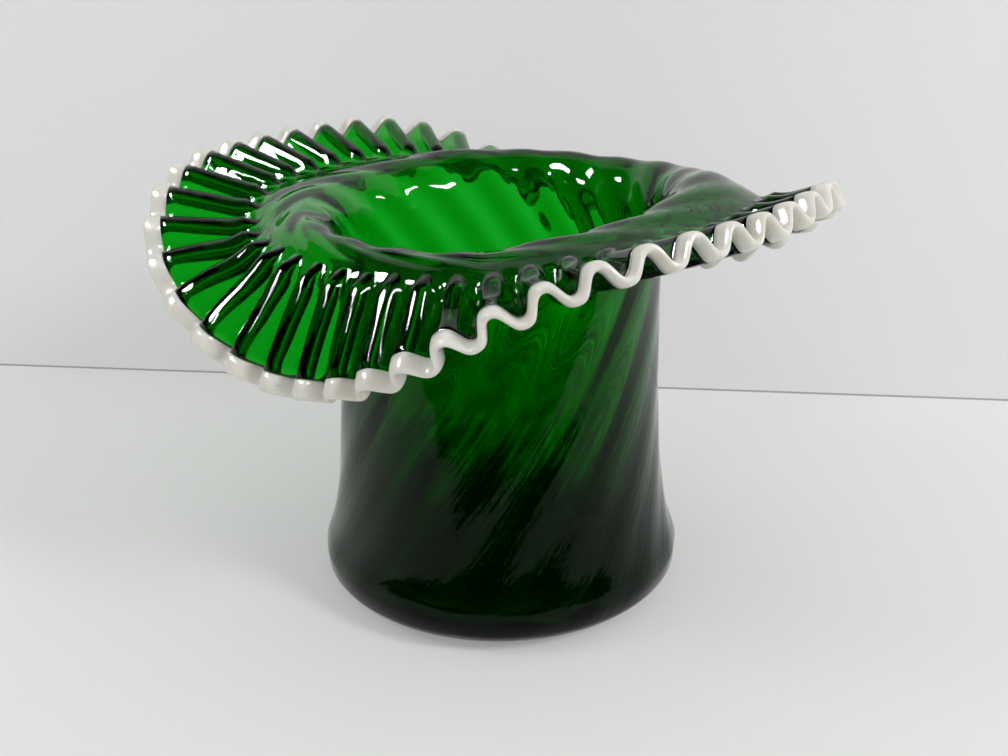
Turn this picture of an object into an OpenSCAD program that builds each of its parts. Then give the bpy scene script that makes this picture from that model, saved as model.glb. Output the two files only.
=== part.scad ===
// Blown glass hat with a spiral optic crown, a crimped brim and an applied white crest.
// Millimetres, +Z up. The origin is below the middle of the brim, on the table. The brim dips
// at -Y and +Y and rises at -X and +X, and the crown stands a little to the +X side of it.

/* [Crown] */
// Outer radius of the flat ring that the hat stands on
foot_r = 54; // [46:0.5:62]
// Width of that ring
foot_ring_w = 7; // [3:0.5:12]
// Height of the push-up in the middle of the underside
push_up = 4; // [1:0.5:8]
// Greatest outer radius of the crown, at the bulge
bulge_r = 76.5; // [70:0.5:86]
// Height of the rounded heel, from the table up to the bulge
heel_h = 13; // [11:0.5:20]
// Length over which the bulge draws in
bulge_draw = 3.5; // [2:0.5:12]
// Outer radius of the waist
waist_r = 66; // [60:0.5:69]
// Thickness of the wall and of the smooth brim
wall = 4; // [3:0.1:5]
// Thickness of the floor
floor_t = 8; // [5:0.5:11]

/* [Brim] */
// Height of the rolled lip between throat and brim
lip_z = 167; // [155:0.5:178]
// How far the lip rolls out from the throat
lip_roll = 15; // [14:0.5:22]
// Height over which the throat flares into the lip
flare_h = 38; // [30:1:46]
// How much the lip tips up on the +Y side
lip_tip = 2.2; // [0:0.1:4]
// How much lower the lip is on the -X side
lip_sink = 6.5; // [0:0.5:9]
// Mean radius of the brim, where the crest joins it
brim_r = 123.5; // [118:0.5:132]
// Mean height of the brim's edge
brim_z = 152.5; // [145:0.5:160]
// Width over which the roll falls away from the lip to the brim
roll_w = 31; // [28:1:40]
// Rise of the two sides, and fall of front and back, along the brim's edge
brim_saddle = 28.5; // [0:0.5:34]
// How much narrower the two dips are than the two rises
brim_pinch = 5.5; // [0:0.1:9]
// How flat the tops of the rises are
brim_flat = 1.2; // [0:0.1:3]
// How late the sides begin to rise: 1 is at the throat, and more keeps the inner brim level
rise_curl = 1.1; // [1:0.05:3]
// How late the dips begin to fall
dip_curl = 2.9; // [2:0.1:6]
// Ovalness of the brim seen from above
plan_oval = 10.2; // [0:0.1:13]
// Squareness of the brim seen from above
plan_square = 5.2; // [0:0.1:7]
// Turn of that plan shape about the axis, in degrees
plan_turn = 6; // [-20:1:20]
// How far the brim sits to the -X side of the crown's axis
brim_off = 6.6; // [0:0.1:8]
// How far it sits to the +Y side of that axis
brim_side = 1; // [0:0.1:3]
// How much the brim tips up on the +X side
brim_tip = 3; // [0:0.1:5]
// Thickness of the brim at its edge
edge_t = 3.5; // [2.5:0.1:4]

/* [Crimps] */
// Number of crimps round the brim
crimps = 46; // [24:2:52]
// Height of a crimp, trough to ridge
crimp_h = 7.8; // [2:0.1:10]
// Radius from which the crimps run out to the edge
crimp_from = 102; // [95:0.5:104]
// How much further in they begin on the side that was crimped deepest
crimp_reach = 12.5; // [0:0.5:14]
// Angle of that side
crimp_reach_at = -100; // [-180:1:180]
// Length over which a crimp rises to its full height
crimp_ramp = 7; // [5:0.5:12]
// How much further in a ridge begins than a trough
crimp_head = 3; // [0:0.5:5]
// Angle of the first ridge
crimp_start = 132.6; // [0:0.1:360]
// How far the hand-made crimps drift from an even spacing, in degrees
crimp_drift = 2; // [0:0.1:3]
// Angle at which that drift is greatest, as at the angle opposite
crimp_drift_at = 102; // [0:1:180]
// How far they creep towards one side, in degrees
crimp_creep = 1.3; // [0:0.1:2]
// Angle at which that creep is greatest
crimp_creep_at = 99; // [0:1:360]

/* [Spiral optic] */
// Number of ribs inside the crown
ribs = 18; // [10:1:20]
// Depth of the flutes between the ribs
rib_depth = 1.5; // [0:0.1:2]
// Twist of the ribs, in degrees per millimetre
rib_twist = 0.55; // [0:0.05:0.8]
// How many times stronger the twist is on the brim
rib_swirl = 2; // [1:0.1:3]
// How fast the flutes get shallower as the throat widens
rib_thin = 2.5; // [1:0.1:6]

/* [Crest] */
// Width of the white crest, out from the edge of the green glass
crest_w = 6.4; // [3:0.1:10]

/* [Hidden] */
emerald = [0.02, 0.42, 0.12];
opal = [0.95, 0.94, 0.9];
throat_r = waist_r - wall;
lip_r = throat_r + lip_roll;
flare_z = lip_z - flare_h;
inner_foot_r = foot_r - wall;
inner_bulge_r = bulge_r - wall;
inner_heel_z = heel_h + wall;
// How round the ridges and troughs are
wave_round = 0.055;
// Columns of points: round the outside, along the ribs and along the crimps
plain_cols = 72;
rib_cols = ribs * 5;
crimp_cols = crimps * 6;

// Smooth step from 0 to 1
function ease(x) = let (c = min(1, max(0, x))) c * c * (3 - 2 * c);

// Point at t on the cubic curve of four control points
function cubic(a, b, c, d, t) =
    let (v = 1 - t)
    v * v * v * a + 3 * v * v * t * b + 3 * v * t * t * c + t * t * t * d;

// Plan radius of the brim's edge at an angle, and how far it rises or falls there
function edge_r(th) =
    let (a = th - plan_turn)
    brim_r + plan_oval * cos(2 * a) - plan_square * cos(4 * a) - brim_off * cos(th) + brim_side * sin(th);
function edge_rise(th) =
    brim_saddle * cos(2 * th) - brim_pinch * cos(4 * th) - brim_flat * cos(6 * th) + brim_tip * cos(th);

// The inner face of the wall as [radius, height]. Along the way s, -1 to 0 is the heel,
// 0 to 1 the crown, 1 to 2 the flaring throat and 2 to 3 the brim from lip to edge.
function heel_face(a) = [
    inner_foot_r + (inner_bulge_r - inner_foot_r) * sin(a),
    inner_heel_z - (inner_heel_z - floor_t) * cos(a)
];
function crown_face(t) = cubic(
    [inner_bulge_r, inner_heel_z],
    [inner_bulge_r, inner_heel_z + bulge_draw],
    [throat_r, inner_heel_z + 2 * bulge_draw],
    [throat_r, flare_z],
    t);
function lip_h(th) = lip_z + lip_tip * sin(th) - lip_sink * pow((1 - cos(th)) / 2, 6);
function throat_face(a, th) = [lip_r - lip_roll * cos(a), flare_z + (lip_h(th) - flare_z) * sin(a)];
function brim_face(x, th) =
    let (r = lip_r + (edge_r(th) - lip_r) * x)
    [r, brim_z + (lip_h(th) - brim_z) * ease(1 - (r - lip_r) / roll_w)];
function level_face(s, th) =
    s < 0 ? heel_face(90 * (s + 1)) :
    s < 1 ? crown_face(s) :
    s < 2 ? throat_face(90 * (s - 1), th) : brim_face(s - 2, th);
function face(s, th) =
    let (
        p = level_face(s, th),
        out = max(0, p[0] - throat_r) / (edge_r(th) - throat_r),
        rise = edge_rise(th)
    )
    s < 1 ? p : p + [0, rise * pow(out, rise > 0 ? rise_curl : dip_curl)];

// A point given as [radius, height] at an angle about the crown's axis, in space
function swing(p, th) = [brim_off + p[0] * cos(th), p[0] * sin(th), p[1]];
function sheet(s, th) = swing(face(s, th), th);

// Direction along that face, and the one at right angles to it, out of the glass
function along(s, th) = let (d = sheet(min(3, s + 0.01), th) - sheet(max(-1, s - 0.01), th)) d / norm(d);
function clear(s, th) = let (n = cross(along(s, th), sheet(s, th + 0.5) - sheet(s, th - 0.5))) n / norm(n);

// Rounded wave of the crimps, and its slope, over a phase in degrees
function wave(phase) = (cos(phase) - wave_round * cos(3 * phase)) / (1 - wave_round);
function wave_slope(phase) = (3 * wave_round * sin(3 * phase) - sin(phase)) / (1 - wave_round);

// Angle of a column whose even angle is u, with the drift of the crimps
function drifted(u) =
    u + crimp_drift * cos(2 * (u - crimp_drift_at)) + crimp_creep * cos(u - crimp_creep_at);

// Rows q are as the way s up to the lip. Then 2 to 3 is the smooth brim and 3 to 4 the crimps,
// which begin where crimp_at says.
function crimp_at(th) =
    let (r = crimp_from - crimp_reach * pow((1 + cos(th - crimp_reach_at)) / 2, 4))
    min(2.85, max(2.05, 2 + (r - lip_r) / (edge_r(th) - lip_r)));
function way(q, th) =
    q <= 2 ? q :
    q <= 3 ? 2 + (crimp_at(th) - 2) * (q - 2) : crimp_at(th) + (3 - crimp_at(th)) * (q - 3);

// Point of the crimped sheet, on its upper side at 1 and on its under side at -1. The sheet is
// taller on the flanks of a crimp, so that it keeps most of its thickness there.
function crimped(u, q, side) =
    let (
        th = drifted(u),
        s = way(q, th),
        phase = crimps * (u - crimp_start),
        run = (s - crimp_at(th)) * (edge_r(th) - lip_r) - crimp_head * (1 - wave(phase)) / 2,
        half = crimp_h / 2 * ease(run / crimp_ramp),
        slope = half * crimps / face(s, th)[0] * wave_slope(phase),
        thick = wall - (wall - edge_t) * max(0, q - 3),
        lift = half * wave(phase) - wall / 2 + side * thick / 2 * sqrt(1 + 0.6 * slope * slope)
    )
    sheet(s, th) + lift * clear(s, th);

// How far a row is along the twist, and the turn of its columns
function rib_way(q) = q < 2 ? level_face(q, 0)[1] : lip_z + rib_swirl * (crimp_from - lip_r) * (q - 2);
function twist(q) = rib_twist * (rib_way(q) - rib_way(3));

// Point of the inner face on a column that follows the twist, on a rib or in a flute
function fluted(u, q) =
    let (
        th = drifted(u) + twist(q),
        s = way(q, th),
        shallow = min(1, pow(throat_r / face(s, th)[0], q > 1 ? rib_thin : 0)),
        fade = ease((q + 0.85) / 0.35) * ease((3 - q) / 0.4) * shallow,
        flute = rib_depth * fade * (1 - cos(ribs * (u - crimp_start))) / 2
    )
    sheet(s, th) - flute * clear(s, th);

// Rings of points: round, under the smooth wall, on the ribs and on the crimps
function angles(cols) = [for (i = [0:cols - 1]) crimp_start + i * 360 / cols];
function round_ring(r, z, turn = 0) = [for (u = angles(plain_cols)) swing([r, z], drifted(u) + turn)];
function outer_ring(q) = [for (u = angles(plain_cols)) crimped(u, q, -1)];
function rib_ring(q) = [for (u = angles(rib_cols)) fluted(u, q)];
function crimp_ring(q, side) = [for (u = angles(crimp_cols)) crimped(u, q, side)];

// Closed skin over rings of any number of points. Rings of one point close the ends, or the
// last ring joins the first. The other lean turns the diagonals the other way.
function joined(a, an, b, bn, lean) = [
    if (an > 1) for (i = [0:an - 1])
        let (x = (i + 0.5) * bn / an, j = lean ? floor(x + 0.5) : ceil(x - 0.5))
        [a + (i + 1) % an, a + i, b + j % bn],
    if (bn > 1) for (j = [0:bn - 1])
        let (x = (j + 0.5) * an / bn, i = lean ? ceil(x - 0.5) : floor(x + 0.5))
        [a + i % an, b + j, b + (j + 1) % bn]
];
function starts(rings, k) = k == 0 ? [0] : let (s = starts(rings, k - 1)) [each s, s[k - 1] + len(rings[k - 1])];
module skin(rings, loop = false, lean = false) {
    n = len(rings);
    at = starts(rings, n - 1);
    faces = [
        for (k = [0:n - (loop ? 1 : 2)])
            let (m = (k + 1) % n)
            each joined(at[k], len(rings[k]), at[m], len(rings[m]), lean)
    ];
    polyhedron([for (r = rings) each r], faces);
}

// Rows up the outside, up the inside, and across the crimps
outer_rows = [0, 0.25, 0.5, 0.75, 1, 1.25, 1.45, 1.65, 1.85, 2.2, 2.6];
inner_rows = [-0.75, -0.5, -0.25, for (k = [0:6]) sqrt(k / 7), for (k = [0:4]) 1 + k / 5, 2, 2.4, 2.8];
crimp_rows = [3, 3.14, 3.28, 3.6, 4];
function back(rows) = [for (k = [len(rows) - 1:-1:0]) rows[k]];

module glass_body() {
    hollow_r = foot_r - foot_ring_w;
    hollow = [for (x = [0.4, 0.75, 1]) round_ring(hollow_r * x, push_up * ease(1 - x))];
    heel = [for (a = [0:22.5:67.5]) round_ring(foot_r + (bulge_r - foot_r) * sin(a), heel_h * (1 - cos(a)))];
    outside = [for (q = outer_rows) outer_ring(q)];
    below = [for (q = crimp_rows) crimp_ring(q, -1)];
    above = [for (q = back(crimp_rows)) crimp_ring(q, 1)];
    inside = [for (q = back(inner_rows)) rib_ring(q)];
    floor = [for (x = [1, 0.6]) round_ring(inner_foot_r * x, floor_t + push_up * ease(1 - x), twist(-1))];
    color(emerald) skin([
        [swing([0, push_up], 0)],
        each hollow,
        each heel,
        each outside,
        each below,
        each above,
        each inside,
        each floor,
        [swing([0, floor_t + push_up], 0)]
    ]);
}

// The crest grows out of the edge of the brim, from its under corner round to its upper one
module white_crest() {
    function nose(u, a) =
        let (
            top = crimped(u, 4, 1),
            low = crimped(u, 4, -1),
            reach = crest_w * pow(sin(a), 0.7)
        )
        (top + low) / 2 - (top - low) / 2 * cos(a) + reach * along(3, drifted(u));
    color(opal) skin(
        [for (a = [0:30:180]) [for (u = angles(crimp_cols)) nose(u, a)]],
        loop = true,
        lean = true);
}

glass_body();
white_crest();
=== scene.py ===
import math

import bpy
import numpy as np
from mathutils import Matrix, Vector


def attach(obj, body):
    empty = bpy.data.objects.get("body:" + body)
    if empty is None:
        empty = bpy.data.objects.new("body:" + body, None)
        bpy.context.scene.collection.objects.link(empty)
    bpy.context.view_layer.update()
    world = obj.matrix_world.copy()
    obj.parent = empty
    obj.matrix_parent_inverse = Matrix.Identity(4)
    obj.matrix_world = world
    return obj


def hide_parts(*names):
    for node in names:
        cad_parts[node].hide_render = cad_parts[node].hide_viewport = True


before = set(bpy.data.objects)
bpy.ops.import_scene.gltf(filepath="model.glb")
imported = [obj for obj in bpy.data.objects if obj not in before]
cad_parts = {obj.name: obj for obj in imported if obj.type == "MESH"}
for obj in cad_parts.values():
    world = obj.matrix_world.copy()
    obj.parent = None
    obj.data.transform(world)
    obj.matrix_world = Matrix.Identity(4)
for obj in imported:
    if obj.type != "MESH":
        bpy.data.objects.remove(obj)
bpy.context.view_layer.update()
mm = 0.001

# the hat in millimetres and degrees, as in the CAD but for the curve and the lifts of its lip
hat = {
    "wall": 4.0,
    "edgeT": 3.5,
    "footR": 54.0,
    "footRingW": 7.0,
    "pushUp": 4.0,
    "floorT": 8.0,
    "bulgeR": 76.5,
    "heelH": 13.0,
    "bulgeDraw": 3.5,
    "waistR": 66.0,
    "lipZ": 167.0,
    "lipRoll": 15.0,
    "flareH": 38.0,
    "lipCurve": 0.45,     # below 1 makes the lip rounder on top
    "lipTip": 2.2,        # the lip is higher on one side
    "lipSink": 6.5,       # and lower on another
    "lipSinkAt": 180.0,
    "lipSinkFade": 6,     # a higher fade keeps it to a shorter stretch
    "lipBack": 2.0,       # small lifts of the lip
    "lipBackAt": 136.0,
    "lipBackFade": 12,
    "lipSide": 6.5,
    "lipSideAt": 38.0,
    "lipSideFade": 8,
    "lipSideTo": 116.0,   # radius to which the brim follows the side lift
    "lipSideOver": 22.0,  # and the width over which that runs out
    "brimR": 123.5,
    "brimZ": 152.5,
    "rollW": 31.0,
    "saddle": 28.5,       # rise at the sides, fall at front and back
    "pinch": 5.5,
    "flat": 1.2,
    "riseCurl": 1.1,
    "dipCurl": 2.9,
    "planOval": 10.2,
    "planSquare": 5.2,
    "planTurn": 6.0,
    "brimOff": 6.6,       # the brim isn't quite over the crown
    "brimSide": 1.0,
    "brimTip": 3.0,
}
# the crimps start further in on one side, and rise sooner, than the CAD's
crimp = {
    "count": 46,
    "height": 7.8,        # trough to ridge
    "fromR": 102.0,       # radius at which they start
    "reach": 17.0,        # and how much further in on one side
    "reachAt": -80.0,
    "reachFade": 4,
    "startRows": (2.05, 2.85),   # rows of the brim between which they may start
    "ramp": 5.5,
    "head": 3.0,          # how much sooner a ridge starts than a trough
    "start": 132.6,       # angle of one ridge
    "drift": 2.0,         # the spacing isn't quite even
    "driftAt": 102.0,
    "creep": 1.3,
    "creepAt": 99.0,
    "round": 0.055,
    "thicken": 0.6,       # keeps the glass from getting thin on their slopes
}
rib = {
    "count": 18,
    "depth": 1.5,
    "outerDepth": 0.3,
    "twist": 0.55,        # degrees for each mm of the way up
    "swirl": 2.0,         # stronger on the brim
    "thin": 3.5,          # how fast they thin out as the throat widens
    "heelFrom": -0.85,    # row of the heel where they start
    "heelOver": 0.35,     # rows over which they reach their depth
    "brimOver": 0.4,      # and run out before the crimps
}
throatR = hat["waistR"] - hat["wall"]
lipR = throatR + hat["lipRoll"]
flareZ = hat["lipZ"] - hat["flareH"]
innerFootR = hat["footR"] - hat["wall"]
innerBulgeR = hat["bulgeR"] - hat["wall"]
innerHeelZ = hat["heelH"] + hat["wall"]
rowStep = 0.01            # steps for taking slopes, in rows and in degrees
turnStep = 0.5
mergeGap = 0.004          # closes the seam and the poles of a blank


def cosd(a):
    return np.cos(np.radians(a))


def sind(a):
    return np.sin(np.radians(a))


def ease(x):
    c = np.clip(x, 0, 1)
    return c * c * (3 - 2 * c)


def cubic(a, b, c, d, t):
    v = 1 - t
    return v ** 3 * a + 3 * v * v * t * b + 3 * v * t * t * c + t ** 3 * d


# 1 at one angle, 0 straight across from it
def nearAngle(th, at, fade):
    return ((1 + cosd(th - at)) / 2) ** fade


def edgeR(th):
    a = th - hat["planTurn"]
    plan = hat["planOval"] * cosd(2 * a) - hat["planSquare"] * cosd(4 * a)
    return hat["brimR"] + plan - hat["brimOff"] * cosd(th) + hat["brimSide"] * sind(th)


def edgeRise(th):
    saddle = hat["saddle"] * cosd(2 * th) - hat["pinch"] * cosd(4 * th)
    return saddle - hat["flat"] * cosd(6 * th) + hat["brimTip"] * cosd(th)


# inner face as radius and height; s runs -1..0 heel, 0..1 crown, 1..2 throat, 2..3 brim
def levelFace(s, th):
    heel = 90 * (np.clip(s, -1, 0) + 1)
    crown = np.clip(s, 0, 1)
    flare = 90 * (np.clip(s, 1, 2) - 1)
    brimR = lipR + (edgeR(th) - lipR) * (np.maximum(s, 2) - 2)
    draw = hat["bulgeDraw"]
    lipH = hat["lipZ"] + hat["lipTip"] * sind(th)
    lipH = lipH - hat["lipSink"] * nearAngle(th, hat["lipSinkAt"], hat["lipSinkFade"])
    lipH = lipH + hat["lipBack"] * nearAngle(th, hat["lipBackAt"], hat["lipBackFade"])
    side = hat["lipSide"] * nearAngle(th, hat["lipSideAt"], hat["lipSideFade"])
    parts = [s < 0, s < 1, s < 2]
    r = np.select(parts, [
        innerFootR + (innerBulgeR - innerFootR) * sind(heel),
        cubic(innerBulgeR, innerBulgeR, throatR, throatR, crown),
        lipR - hat["lipRoll"] * cosd(flare)], brimR)
    z = np.select(parts, [
        innerHeelZ - (innerHeelZ - hat["floorT"]) * cosd(heel),
        cubic(innerHeelZ, innerHeelZ + draw, innerHeelZ + 2 * draw, flareZ, crown),
        flareZ + (lipH + side - flareZ) * sind(flare) ** hat["lipCurve"]],
        hat["brimZ"] + (lipH - hat["brimZ"]) * ease(1 - (brimR - lipR) / hat["rollW"])
        + side * ease((hat["lipSideTo"] - brimR) / hat["lipSideOver"]))
    return r, z


def face(s, th):
    r, z = levelFace(s, th)
    out = np.maximum(0, r - throatR) / (edgeR(th) - throatR)
    rise = edgeRise(th)
    lift = rise * np.where(rise > 0, out ** hat["riseCurl"], out ** hat["dipCurl"])
    return r, z + np.where(s < 1, 0, lift)


def swing(r, z, th):
    return np.stack([hat["brimOff"] + r * cosd(th), r * sind(th), z + 0 * th], axis=-1)


def sheet(s, th):
    return swing(*face(s, th), th)


def unit(v):
    return v / np.linalg.norm(v, axis=-1, keepdims=True)


# along the face, and straight out of it
def along(s, th):
    return unit(sheet(np.minimum(3, s + rowStep), th) - sheet(np.maximum(-1, s - rowStep), th))


def clear(s, th):
    return unit(np.cross(along(s, th), sheet(s, th + turnStep) - sheet(s, th - turnStep)))


def drifted(u):
    drift = crimp["drift"] * cosd(2 * (u - crimp["driftAt"]))
    return u + drift + crimp["creep"] * cosd(u - crimp["creepAt"])


def wave(phase):
    return (cosd(phase) - crimp["round"] * cosd(3 * phase)) / (1 - crimp["round"])


def waveSlope(phase):
    return (3 * crimp["round"] * sind(3 * phase) - sind(phase)) / (1 - crimp["round"])


# rows q run as s does up to the lip, then 2..3 over the smooth brim and 3..4 over the crimps
def crimpAt(th):
    r = crimp["fromR"] - crimp["reach"] * nearAngle(th, crimp["reachAt"], crimp["reachFade"])
    return np.clip(2 + (r - lipR) / (edgeR(th) - lipR), *crimp["startRows"])


def rowAt(q, th):
    start = crimpAt(th)
    smooth = np.minimum(q, 2) + (start - 2) * np.clip(q - 2, 0, 1)
    return smooth + (3 - start) * np.maximum(q - 3, 0)


# the crimped sheet; side is 1 on its upper side and -1 on its under side
def crimped(u, q, side):
    th = drifted(u)
    s = rowAt(q, th)
    phase = crimp["count"] * (u - crimp["start"])
    run = (s - crimpAt(th)) * (edgeR(th) - lipR) - crimp["head"] * (1 - wave(phase)) / 2
    half = crimp["height"] / 2 * ease(run / crimp["ramp"])
    slope = half * crimp["count"] / face(s, th)[0] * waveSlope(phase)
    thick = hat["wall"] - (hat["wall"] - hat["edgeT"]) * np.maximum(0, q - 3)
    thick = thick * np.sqrt(1 + crimp["thicken"] * slope * slope)
    lift = half * wave(phase) - hat["wall"] / 2 + side * thick / 2
    return sheet(s, th) + lift[..., None] * clear(s, th)


def ribWay(q):
    if q < 2:
        return float(levelFace(np.array(q), 0.0)[1])
    return hat["lipZ"] + rib["swirl"] * (crimp["fromR"] - lipR) * (q - 2)


def twisted(u, way):
    return drifted(u) + rib["twist"] * (way - ribWay(3))


# the smooth wall, inside or outside, on a column that follows the twisted ribs
def fluted(u, q, deep, depth):
    th = twisted(u, ribWay(q))
    s = rowAt(q, th)
    shallow = np.minimum(1, throatR / face(s, th)[0]) ** rib["thin"] if q > 1 else 1
    fade = ease((q - rib["heelFrom"]) / rib["heelOver"]) * ease((3 - q) / rib["brimOver"])
    flute = deep * fade * shallow * (1 - cosd(rib["count"] * (u - crimp["start"]))) / 2
    into = depth - flute if depth else flute
    return sheet(s, th) - (into + 0 * th)[..., None] * clear(s, th)


# a line of vertices is extruded point by point, closed if asked, and spun into a blank
def spinBlank(name, points, steps, closed):
    bpy.ops.object.select_all(action="DESELECT")
    bpy.ops.mesh.primitive_circle_add(vertices=3, radius=mm)
    blank = bpy.context.object
    blank.name = name
    bpy.ops.object.mode_set(mode="EDIT")
    bpy.ops.mesh.select_all(action="SELECT")
    bpy.ops.mesh.merge(type="CENTER")
    r, z = points[0]
    bpy.ops.transform.translate(value=(r * mm, 0, z * mm))
    for (r0, z0), (r1, z1) in zip(points, points[1:]):
        bpy.ops.mesh.extrude_vertices_move(
            TRANSFORM_OT_translate={"value": ((r1 - r0) * mm, 0, (z1 - z0) * mm)})
    bpy.ops.object.mode_set(mode="OBJECT")
    if closed:                # an edge from the last vertex to the first
        blank.data.vertices[0].select = blank.data.vertices[-1].select = True
        for v in blank.data.vertices[1:-1]:
            v.select = False
        for e in blank.data.edges:
            e.select = False
        bpy.ops.object.mode_set(mode="EDIT")
        bpy.ops.mesh.edge_face_add()
        bpy.ops.object.mode_set(mode="OBJECT")
    turned = blank.modifiers.new("turned", "SCREW")
    turned.axis = "Z"
    turned.angle = 2 * math.pi
    turned.steps = turned.render_steps = steps
    turned.use_merge_vertices = True
    turned.merge_threshold = mergeGap * mm
    bpy.ops.object.modifier_apply(modifier=turned.name)
    bpy.ops.object.mode_set(mode="EDIT")
    bpy.ops.mesh.select_all(action="SELECT")
    bpy.ops.mesh.remove_doubles(threshold=mergeGap * mm)
    bpy.ops.mesh.normals_make_consistent(inside=False)
    bpy.ops.object.mode_set(mode="OBJECT")
    return blank


# every vertex of the blank goes where its row of the profile and its angle say
def toolBlank(blank, points, rows):
    mesh = blank.data
    co = np.empty(len(mesh.vertices) * 3)
    mesh.vertices.foreach_get("co", co)
    co = co.reshape(-1, 3) / mm
    line = np.array(points)
    gap = np.hypot(np.hypot(co[:, 0], co[:, 1])[:, None] - line[:, 0], co[:, 2:] - line[:, 1])
    nearest = gap.argmin(axis=1)
    u = np.degrees(np.arctan2(co[:, 1], co[:, 0]))
    done = np.empty_like(co)
    for k, row in enumerate(rows):
        mine = nearest == k
        done[mine] = row(u[mine])
    before = mesh.attributes.new("blank", "FLOAT_VECTOR", "POINT")   # place before the twist
    before.data.foreach_set("vector", (co * mm).ravel())
    mesh.vertices.foreach_set("co", (done * mm).ravel())
    mesh.update()


bodyRows = {
    "columns": crimp["count"] * 14,
    "underside": 5,
    "heel": 7,
    "crown": 20,
    "throat": 14,
    "throatCrowd": 1.5,   # above 1 crowds the first rows
    "brim": 8,
    "crimps": 14,
    "crimpCrowd": 1.3,
    "floor": 4,
    "blankAt": 45.0,      # angle from the plan's turn at which the blank's profile is taken
}
crestShape = {
    "columns": crimp["count"] * 24,
    "width": 6.4,
    "proud": 0.12,        # stands over the green glass
    "bite": 0.6,          # reaches back into it
    "biteUp": 0.5,        # how far its back goes up and down, 1 is the sheet's face
    "around": 15,
    "blunt": 0.7,         # below 1 makes the nose fuller than an ellipse
    "blankHalf": 2.0,     # half the blank's height
}


def makeBody():
    wall = hat["wall"]
    points, rows = [], []

    def station(r, z, row):
        points.append((float(r), float(z)))
        rows.append(row)

    def plain(r, z, way):
        station(r, z, lambda u: swing(r + 0 * u, z, twisted(u, way)))

    def layer(q, depth, row):
        th = np.array(hat["planTurn"] + bodyRows["blankAt"])
        s = rowAt(q, th)
        r, z = levelFace(s, th)
        r1, z1 = levelFace(np.minimum(3, s + rowStep), th)
        r0, z0 = levelFace(np.maximum(-1, s - rowStep), th)
        d = math.hypot(r1 - r0, z1 - z0)
        station(r + depth * (z1 - z0) / d, z - depth * (r1 - r0) / d, row)

    def outer(q):
        layer(q, wall, lambda u: fluted(u, q, rib["outerDepth"], wall))

    def inner(q):
        layer(q, 0, lambda u: fluted(u, q, rib["depth"], 0))

    def under(q):
        layer(q, wall, lambda u: crimped(u, q, -1))

    def upper(q):
        layer(q, 0, lambda u: crimped(u, q, 1))

    hollowR = hat["footR"] - hat["footRingW"]
    for x in np.linspace(0, 1, bodyRows["underside"]):
        plain(hollowR * x, hat["pushUp"] * ease(1 - x), 0)
    for a in np.linspace(0, 90, bodyRows["heel"], endpoint=False):
        z = hat["heelH"] * (1 - cosd(a))
        plain(hat["footR"] + (hat["bulgeR"] - hat["footR"]) * sind(a), z, z)
    throat = np.linspace(0, 1, bodyRows["throat"], endpoint=False) ** bodyRows["throatCrowd"]
    ways = np.concatenate([
        np.sqrt(np.linspace(0, 1, bodyRows["crown"], endpoint=False)),   # even in height
        1 + throat,
        np.linspace(2, 3, bodyRows["brim"], endpoint=False)])
    crimps = 3 + np.linspace(0, 1, bodyRows["crimps"]) ** bodyRows["crimpCrowd"]
    for q in ways:
        outer(q)
    for q in crimps:
        under(q)
    for q in crimps[::-1]:
        upper(q)
    for q in ways[::-1]:
        inner(q)
    for q in np.linspace(0, -1, bodyRows["heel"], endpoint=False)[1:]:
        inner(q)
    for x in np.linspace(1, 0, bodyRows["floor"]):
        plain(innerFootR * x, hat["floorT"] + hat["pushUp"] * ease(1 - x), hat["floorT"])
    body = spinBlank("glassBody", points, bodyRows["columns"], False)
    toolBlank(body, points, rows)
    bpy.ops.object.shade_smooth()
    print("glass body", len(body.data.polygons), "faces")
    return body


def makeCrest():
    proud = 1 + 2 * crestShape["proud"] / hat["edgeT"]
    bite, biteUp = crestShape["bite"], crestShape["biteUp"]
    points, rows = [], []

    # out is along the sheet from its edge, up is across it, 1 at its upper side
    def station(out, up):
        points.append((hat["brimR"] + out, hat["brimZ"] + crestShape["blankHalf"] * up))

        def row(u):
            th = drifted(u)
            back = min(0, out) / (edgeR(th) - lipR) / (3 - crimpAt(th))
            return crimped(u, 4 + back, up) + max(0, out) * along(3 + 0 * th, th)
        rows.append(row)

    station(-bite, 0)
    station(-bite, -biteUp)
    for a in np.linspace(0, 180, crestShape["around"]):
        nose = sind(a) ** crestShape["blunt"]
        station((crestShape["width"] + bite / 2) * nose - bite / 2, -proud * cosd(a))
    station(-bite, biteUp)
    crest = spinBlank("whiteCrest", points, crestShape["columns"], True)
    toolBlank(crest, points, rows)
    bpy.ops.object.shade_smooth()
    print("white crest", len(crest.data.polygons), "faces")
    return crest


def emptyTree(owner):
    owner.use_nodes = True
    owner.node_tree.nodes.clear()
    return owner.node_tree


# a new node, with its sockets fed by other nodes or by plain values
def addNode(tree, kind, feeds, **setUp):
    node = tree.nodes.new(kind)
    for key, value in setUp.items():
        setattr(node, key, value)
    for name, value in feeds.items():
        if isinstance(value, bpy.types.NodeSocket):
            tree.links.new(value, node.inputs[name])
        else:
            node.inputs[name].default_value = value
    return node


def mathNode(tree, operation, a, b):
    return addNode(tree, "ShaderNodeMath", {0: a, 1: b}, operation=operation).outputs["Value"]


def mixNode(tree, kind, factor, a, b):
    feeds = {"Factor": factor, "A": a, "B": b}
    return addNode(tree, "ShaderNodeMix", feeds, data_type=kind).outputs["Result"]


def mixShaders(tree, factor, a, b):
    return addNode(tree, "ShaderNodeMixShader", {0: factor, 1: a, 2: b}).outputs["Shader"]


def rampNode(tree, value, start, end, kind="SMOOTHSTEP", top=1.0):
    feeds = {"Value": value, "From Min": start, "From Max": end, "To Max": top}
    return addNode(tree, "ShaderNodeMapRange", feeds, interpolation_type=kind).outputs["Result"]


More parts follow.
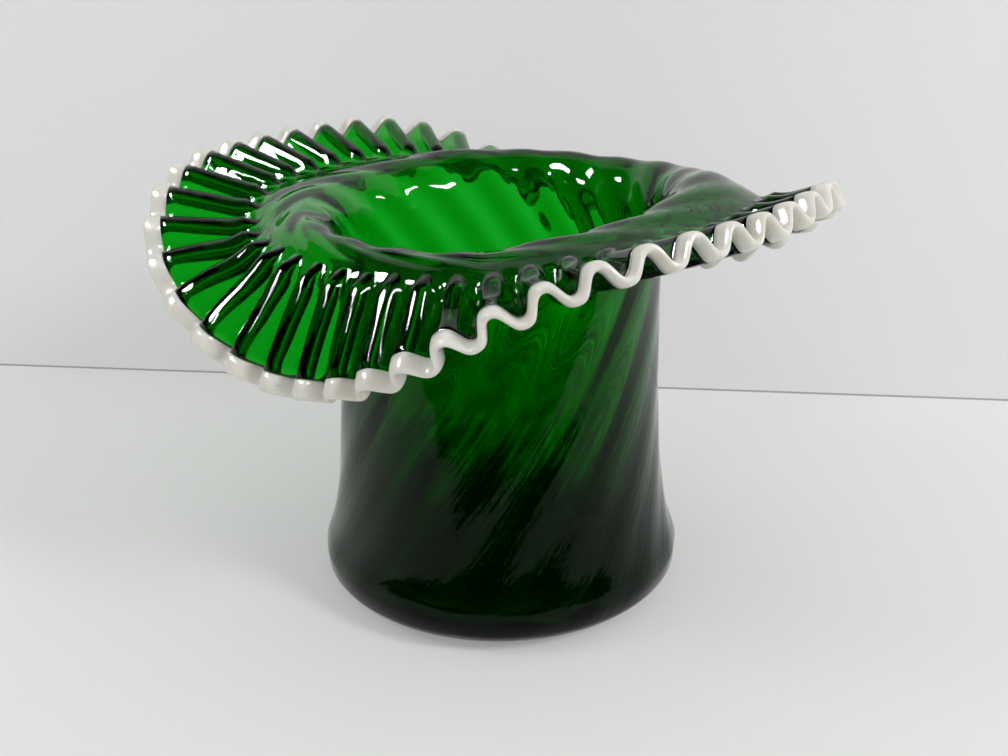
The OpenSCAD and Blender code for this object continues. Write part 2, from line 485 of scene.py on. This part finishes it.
def noiseNode(tree, place, scale, detail):
    feeds = {"Vector": place, "Scale": scale, "Detail": detail}
    return addNode(tree, "ShaderNodeTexNoise", feeds).outputs["Fac"]


greenGlass = {
    "tint": (0.06, 0.86, 0.13, 1),            # of the brim and throat, by their two faces
    "paintedShadeTint": (0.022, 0.34, 0.055, 1),      # painted shade of the lower crown, a darker tint
    "paintedShadeBelow": (0.108, 0.078),              # heights between which the painted shade takes over
    "depthColor": (0.02, 0.76, 0.12, 1),      # what the thickness lets through
    "depth": 850.0,
    "ior": 1.5,
    "shine": (0.2, 0.2, 0.2, 1),              # tint of what it mirrors straight on
    "smears": 60.0,                           # faint wear in the polish
    "smearDetail": 2.0,
    "smearRange": (0.45, 0.75),
    "smearRough": 0.006,
    "streaks": (380, 380, 14),                # drawn out along the twist
    "streakDetail": 3.0,
    "feather": 0.20,                          # how far they carry the painted shade up and down
    "lean": (0.18, 0.17, 0.0),                # the painted shade climbs on one side
    "streakBump": 0.16,
    "streaksBelow": (0.112, 0.085),           # heights between which they set in
    "ripples": 220.0,                         # chill ripples of the mould
    "rippleDetail": 1.0,
    "rippleBump": 0.05,
    "bumpDepth": 0.001,
}


def makeGreenGlass():
    mat = bpy.data.materials.new("emeraldGlass")
    tree = emptyTree(mat)
    place = addNode(tree, "ShaderNodeTexCoord", {}).outputs["Object"]
    height = addNode(tree, "ShaderNodeSeparateXYZ", {"Vector": place}).outputs["Z"]
    smears = noiseNode(tree, place, greenGlass["smears"], greenGlass["smearDetail"])
    rough = rampNode(tree, smears, *greenGlass["smearRange"], "LINEAR", greenGlass["smearRough"])

    # the streaks stand upright before the twist
    before = addNode(tree, "ShaderNodeAttribute", {}, attribute_name="blank")
    drawn = addNode(tree, "ShaderNodeMapping", {
        "Vector": before.outputs["Vector"], "Scale": greenGlass["streaks"]})
    streaks = noiseNode(tree, drawn.outputs["Vector"], 1.0, greenGlass["streakDetail"])
    onCrown = rampNode(tree, height, *greenGlass["streaksBelow"])

    # the painted shade of the lower crown sets in at a height that sways with them
    lean = addNode(tree, "ShaderNodeVectorMath", {
        0: place, 1: greenGlass["lean"]}, operation="DOT_PRODUCT")
    feather = mathNode(tree, "SUBTRACT", streaks, 0.5)
    feather = mathNode(tree, "MULTIPLY", feather, greenGlass["feather"])
    sway = mathNode(tree, "ADD", feather, lean.outputs["Value"])
    sway = mathNode(tree, "MULTIPLY", sway, onCrown)
    deep = rampNode(tree, mathNode(tree, "ADD", height, sway), *greenGlass["paintedShadeBelow"])

    drawnBump = addNode(tree, "ShaderNodeBump", {
        "Strength": mathNode(tree, "MULTIPLY", onCrown, greenGlass["streakBump"]),
        "Distance": greenGlass["bumpDepth"],
        "Height": streaks})
    bump = addNode(tree, "ShaderNodeBump", {
        "Strength": greenGlass["rippleBump"],
        "Distance": greenGlass["bumpDepth"],
        "Height": noiseNode(tree, place, greenGlass["ripples"], greenGlass["rippleDetail"]),
        "Normal": drawnBump.outputs["Normal"]})
    shader = addNode(tree, "ShaderNodeBsdfPrincipled", {
        # the lower crown's base colour is darkened with painted shade
        "Base Color": mixNode(tree, "RGBA", deep, greenGlass["tint"], greenGlass["paintedShadeTint"]),
        "Roughness": rough,
        "IOR": greenGlass["ior"],
        "Transmission Weight": 1.0,
        "Specular Tint": greenGlass["shine"],
        "Normal": bump.outputs["Normal"]})
    depth = addNode(tree, "ShaderNodeVolumeAbsorption", {
        "Color": greenGlass["depthColor"], "Density": greenGlass["depth"]})
    addNode(tree, "ShaderNodeOutputMaterial", {
        "Surface": shader.outputs["BSDF"], "Volume": depth.outputs["Volume"]})
    return mat


whiteGlass = {
    "color": (0.75, 0.74, 0.69, 1),
    "warm": (0.69, 0.655, 0.57, 1),
    "clouds": 45.0,       # in which the white turns warm
    "cloudDetail": 3.0,
    "cloudRange": (0.45, 0.8),
    "speck": (0.36, 0.26, 0.15, 1),
    "dots": 420.0,        # a few brown specks in the white
    "dotDetail": 2.0,
    "dotRange": (0.73, 0.78),
    "roughness": 0.035,
    "ior": 1.5,
    "shine": 0.07,
    "clear": 0.18,        # opal glass lets a little through
    "milk": 0.5,          # share of the light that it scatters inside
    "milkReach": (0.004, 0.0035, 0.003),      # how far red, green and blue get
}


def makeWhiteGlass():
    mat = bpy.data.materials.new("opalGlass")
    tree = emptyTree(mat)
    place = addNode(tree, "ShaderNodeTexCoord", {}).outputs["Object"]
    clouds = noiseNode(tree, place, whiteGlass["clouds"], whiteGlass["cloudDetail"])
    soft = rampNode(tree, clouds, *whiteGlass["cloudRange"], "LINEAR")
    white = mixNode(tree, "RGBA", soft, whiteGlass["color"], whiteGlass["warm"])
    dots = noiseNode(tree, place, whiteGlass["dots"], whiteGlass["dotDetail"])
    dots = rampNode(tree, dots, *whiteGlass["dotRange"])
    shader = addNode(tree, "ShaderNodeBsdfPrincipled", {
        "Base Color": mixNode(tree, "RGBA", dots, white, whiteGlass["speck"]),
        "Roughness": whiteGlass["roughness"],
        "IOR": whiteGlass["ior"],
        "Specular IOR Level": whiteGlass["shine"],
        "Transmission Weight": whiteGlass["clear"],
        "Subsurface Weight": whiteGlass["milk"],
        "Subsurface Radius": whiteGlass["milkReach"],
        "Subsurface Scale": 1.0})
    addNode(tree, "ShaderNodeOutputMaterial", {"Surface": shader.outputs["BSDF"]})
    return mat


stage = {
    "floor": (0.80, 0.80, 0.79, 1),
    "floorSide": 8000,
    "wall": (0.75, 0.75, 0.76, 1),
    "wallSides": (860, 820),
    "matte": 0.9,
    "seam": 1.1,          # width of the painted shade along the foot of the wall
    # how dark that painted shade is
    "seamShade": 0.5,
    "glow": 0.72,         # what the camera sees of floor and wall without lamps and shadows
    "glowShare": 0.35,
    "tableEnd": 225,      # the glass mirrors no floor nearer the camera than this
    "tableFade": 10,
    "floorDim": 0.05,     # how much less of floor and wall the glass mirrors
    "wallDim": 0.05,
}
# the camera's place from the crown's axis, and the wall's
view = {
    "turn": 43.6,         # of both about the crown
    "back": 487.9,
    "height": 287.0,
    "pitch": 22.21,
    "yaw": 0.23,
    "roll": -0.53,
    "lens": 44.64,
    "sensor": 36.0,
    "clip": 10,
    "wallBehind": 205.8,
    "wallTurn": -6.9,
}


def paleMaterial(name, color, dim, isWall):
    mat = bpy.data.materials.new(name)
    tree = emptyTree(mat)
    path = addNode(tree, "ShaderNodeLightPath", {}).outputs
    place = addNode(tree, "ShaderNodeTexCoord", {}).outputs["Object"]
    planeY = addNode(tree, "ShaderNodeSeparateXYZ", {"Vector": place}).outputs["Y"]
    matte = addNode(tree, "ShaderNodeBsdfPrincipled", {
        "Base Color": color, "Roughness": stage["matte"], "Specular IOR Level": 0.0})
    glow = addNode(tree, "ShaderNodeEmission", {
        "Color": (1, 1, 1, 1), "Strength": stage["glow"]})
    seen = mathNode(tree, "MAXIMUM", path["Is Camera Ray"], path["Is Transmission Ray"])
    seen = mathNode(tree, "MAXIMUM", seen, path["Is Glossy Ray"])
    share = mathNode(tree, "MULTIPLY", seen, stage["glowShare"])
    pale = mixShaders(tree, share, matte.outputs["BSDF"], glow.outputs["Emission"])
    mirrored = mathNode(tree, "SUBTRACT", path["Is Glossy Ray"], path["Is Transmission Ray"])
    dark = mathNode(tree, "MULTIPLY", mirrored, dim)
    if isWall:                # painted shade along the foot of the wall
        foot = -0.5 + stage["seam"] / stage["wallSides"][1]   # the plane's own Y starts at -0.5
        gap = mathNode(tree, "LESS_THAN", planeY, foot)
        gap = mathNode(tree, "MULTIPLY", gap, stage["seamShade"])
        dark = mathNode(tree, "MAXIMUM", dark, gap)
    else:                     # the table's end, in what the glass mirrors
        end = -stage["tableEnd"] * mm
        past = rampNode(tree, planeY, end, end - stage["tableFade"] * mm)
        past = mathNode(tree, "MULTIPLY", past, mirrored)
        dark = mathNode(tree, "MAXIMUM", dark, past)
    black = addNode(tree, "ShaderNodeBsdfDiffuse", {"Color": (0, 0, 0, 1)})
    last = mixShaders(tree, dark, pale, black.outputs["BSDF"])
    if isWall:                # clear from behind, for the views from there
        behind = addNode(tree, "ShaderNodeNewGeometry", {}).outputs["Backfacing"]
        clearBack = addNode(tree, "ShaderNodeBsdfTransparent", {})
        last = mixShaders(tree, behind, last, clearBack.outputs["BSDF"])
    addNode(tree, "ShaderNodeOutputMaterial", {"Surface": last})
    return mat


# a place in the camera's own directions about the crown
def atTurn(x, y, z):
    turn = Matrix.Rotation(math.radians(view["turn"]), 4, "Z")
    return turn @ Vector((x * mm, y * mm, z * mm)) + Vector((hat["brimOff"] * mm, 0, 0))


def makeStage():
    turn, lean = math.radians(view["turn"]), math.radians(view["wallTurn"])
    bpy.ops.object.select_all(action="DESELECT")
    bpy.ops.mesh.primitive_plane_add(
        size=stage["floorSide"] * mm, location=atTurn(0, 0, 0), rotation=(0, 0, turn))
    floor = bpy.context.object
    floor.name = "floor"
    floor.data.materials.append(
        paleMaterial("paleFloor", stage["floor"], stage["floorDim"], False))
    away = view["wallBehind"]
    wide, high = stage["wallSides"]
    bpy.ops.mesh.primitive_plane_add(
        size=1.0, location=atTurn(-away * math.sin(lean), away * math.cos(lean), high / 2),
        rotation=(math.radians(90), 0, turn + lean))
    wall = bpy.context.object
    wall.name = "backdrop"
    wall.scale = (wide * mm, high * mm, 1.0)
    wall.data.materials.append(
        paleMaterial("paleBackdrop", stage["wall"], stage["wallDim"], True))


def makeCamera():
    yaw, pitch, roll = (math.radians(view[k]) for k in ("yaw", "pitch", "roll"))
    flat = math.cos(pitch)
    ahead = Vector((math.sin(yaw) * flat, math.cos(yaw) * flat, -math.sin(pitch)))
    side = Vector((math.cos(yaw), -math.sin(yaw), 0))
    up = side.cross(ahead)
    right = math.cos(roll) * side + math.sin(roll) * up
    top = -math.sin(roll) * side + math.cos(roll) * up
    turn = Matrix.Rotation(math.radians(view["turn"]), 4, "Z")
    aim = Matrix((right, top, -ahead)).transposed().to_4x4()
    stand = Matrix.Translation(atTurn(0, -view["back"], view["height"]))
    data = bpy.data.cameras.new("photoCamera")
    data.lens = view["lens"]
    data.sensor_width = view["sensor"]
    data.clip_start = view["clip"] * mm
    cam = bpy.data.objects.new("photoCamera", data)
    bpy.context.collection.objects.link(cam)
    cam.matrix_world = stand @ turn @ aim
    bpy.context.scene.camera = cam


lamps = {
    # name: direction about the hat from straight behind, height angle, sides, watts
    "leftLamp": (-105, 40, (440, 440), 4.5),
    "rightLamp": (127, 35, (400, 400), 13.0),
    # the panes that the glass mirrors, and nothing else sees
    "leftPane": (-101, 41, (760, 540), 218.0),
    "frontPane": (-135, 33, (260, 200), 28.0),
    "rightPane": (119, 35, (1240, 220), 145.0),
}
room = {
    "lampsAway": 1800,
    "lampsAim": 120,      # height that they point at
    "pale": 0.72,         # what the camera and the glass see beyond the floor
    "fill": 0.74,         # soft light from all round
    "dark": 0.06,         # the rest of the room, as the glass mirrors it
}


# a pane is seen in what the glass mirrors, not through it and not by the floor
def mirroredOnly(pane):
    pane.visible_diffuse = pane.visible_transmission = pane.visible_volume_scatter = False
    pane.data.use_nodes = True
    tree = pane.data.node_tree
    path = addNode(tree, "ShaderNodeLightPath", {}).outputs
    other = mathNode(tree, "ADD", path["Transmission Depth"], path["Diffuse Depth"])
    none = mathNode(tree, "LESS_THAN", other, 0.5)   # lit only while that is 0
    tree.links.new(none, tree.nodes["Emission"].inputs["Strength"])


def makeLights():
    away, aim = room["lampsAway"], room["lampsAim"]
    for name, (around, high, sides, watts) in lamps.items():
        data = bpy.data.lights.new(name, "AREA")
        data.shape = "RECTANGLE"
        data.size, data.size_y = sides[0] * mm, sides[1] * mm
        data.energy = watts
        lamp = bpy.data.objects.new(name, data)
        bpy.context.collection.objects.link(lamp)
        lamp.visible_glossy = name.endswith("Pane")
        if lamp.visible_glossy:
            mirroredOnly(lamp)
        flat = away * cosd(high)
        lamp.location = atTurn(flat * sind(around), flat * cosd(around), away * sind(high) + aim)
        toHat = Vector((0, 0, aim * mm)) - lamp.location
        lamp.rotation_euler = toHat.to_track_quat("-Z", "Y").to_euler()
    world = bpy.data.worlds.new("studio")
    bpy.context.scene.world = world
    tree = emptyTree(world)
    path = addNode(tree, "ShaderNodeLightPath", {}).outputs
    level = mixNode(tree, "FLOAT", path["Is Diffuse Ray"], room["dark"], room["fill"])
    seen = mathNode(tree, "MAXIMUM", path["Is Camera Ray"], path["Is Transmission Ray"])
    glow = addNode(tree, "ShaderNodeBackground", {
        "Color": (1, 1, 1, 1), "Strength": mixNode(tree, "FLOAT", seen, level, room["pale"])})
    addNode(tree, "ShaderNodeOutputWorld", {"Surface": glow.outputs["Background"]})


body = makeBody()
crest = makeCrest()
body.data.materials.append(makeGreenGlass())
crest.data.materials.append(makeWhiteGlass())
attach(body, "root")
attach(crest, "root")
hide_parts("glass_body")
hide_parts("white_crest")
print("glass made")

makeStage()
makeCamera()
makeLights()
bpy.context.scene.view_settings.view_transform = "Standard"
print("stage, camera and lamps set")
